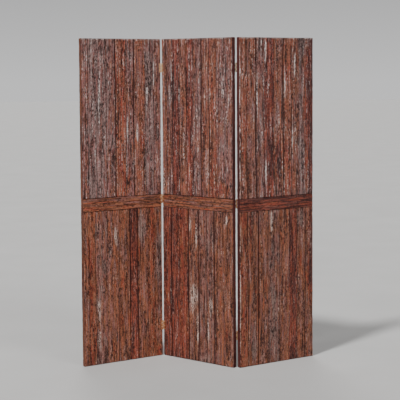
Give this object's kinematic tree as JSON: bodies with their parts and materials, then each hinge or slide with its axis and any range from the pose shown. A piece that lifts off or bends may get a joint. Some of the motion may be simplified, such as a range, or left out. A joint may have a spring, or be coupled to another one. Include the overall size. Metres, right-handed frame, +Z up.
{
  "type": "folding room divider screen",
  "caption": "Free-standing folding room divider: wooden panels clad in rough vertical staves with a horizontal band at mid height, joined by narrow brass hinges screwed onto their faces.",
  "frame": {"origin": "on the floor, under the middle of the screen's box as it stands zigzag", "axes": "+X to the right along the row of panels, +Y from the front of the screen to its back, +Z up"},
  "size_m": [1.2942, 0.3204, 1.8288],
  "materials": {
    "frame_wood": "dark maroon stain, matte",
    "plywood": "raw plywood edge",
    "upper_staves": "rough weathered red-brown wood with grey wear",
    "lower_staves": "rough weathered red-brown wood",
    "band_wood": "thin weathered strips with horizontal grain",
    "brass": "satin, slightly aged"
  },
  "bodies": {
    "middle_panel": {"left_fold_bottom_hinge_pin": "brass", "left_fold_bottom_hinge_right_leaf": "brass", "left_fold_middle_hinge_pin": "brass", "left_fold_middle_hinge_right_leaf": "brass", "left_fold_top_hinge_pin": "brass", "left_fold_top_hinge_right_leaf": "brass", "middle_back_band": "band_wood", "middle_back_lower_staves": "lower_staves", "middle_back_skin": "plywood", "middle_back_upper_staves": "upper_staves", "middle_bottom_rail": "frame_wood", "middle_front_band": "band_wood", "middle_front_lower_staves": "lower_staves", "middle_front_skin": "plywood", "middle_front_upper_staves": "upper_staves", "middle_left_stile": "frame_wood", "middle_middle_rail": "frame_wood", "middle_right_stile": "frame_wood", "middle_top_rail": "frame_wood", "right_fold_bottom_hinge_left_leaf": "brass", "right_fold_bottom_hinge_pin": "brass", "right_fold_middle_hinge_left_leaf": "brass", "right_fold_middle_hinge_pin": "brass", "right_fold_top_hinge_left_leaf": "brass", "right_fold_top_hinge_pin": "brass"},
    "left_panel": {"left_back_band": "band_wood", "left_back_lower_staves": "lower_staves", "left_back_skin": "plywood", "left_back_upper_staves": "upper_staves", "left_bottom_rail": "frame_wood", "left_fold_bottom_hinge_left_leaf": "brass", "left_fold_middle_hinge_left_leaf": "brass", "left_fold_top_hinge_left_leaf": "brass", "left_front_band": "band_wood", "left_front_lower_staves": "lower_staves", "left_front_skin": "plywood", "left_front_upper_staves": "upper_staves", "left_left_stile": "frame_wood", "left_middle_rail": "frame_wood", "left_right_stile": "frame_wood", "left_top_rail": "frame_wood"},
    "right_panel": {"right_back_band": "band_wood", "right_back_lower_staves": "lower_staves", "right_back_skin": "plywood", "right_back_upper_staves": "upper_staves", "right_bottom_rail": "frame_wood", "right_fold_bottom_hinge_right_leaf": "brass", "right_fold_middle_hinge_right_leaf": "brass", "right_fold_top_hinge_right_leaf": "brass", "right_front_band": "band_wood", "right_front_lower_staves": "lower_staves", "right_front_skin": "plywood", "right_front_upper_staves": "upper_staves", "right_left_stile": "frame_wood", "right_middle_rail": "frame_wood", "right_right_stile": "frame_wood", "right_top_rail": "frame_wood"}
  },
  "joints": [
    {"name": "left_fold", "type": "hinge", "parent": "middle_panel", "child": "left_panel", "pos_m": [-0.21681, 0.13626, 0.914], "axis": [0, 0, 1], "range_deg": [-72, 108]},
    {"name": "right_fold", "type": "hinge", "parent": "middle_panel", "child": "right_panel", "pos_m": [0.21681, -0.13626, 0.914], "axis": [0, 0, 1], "range_deg": [-72, 108]}
  ]
}
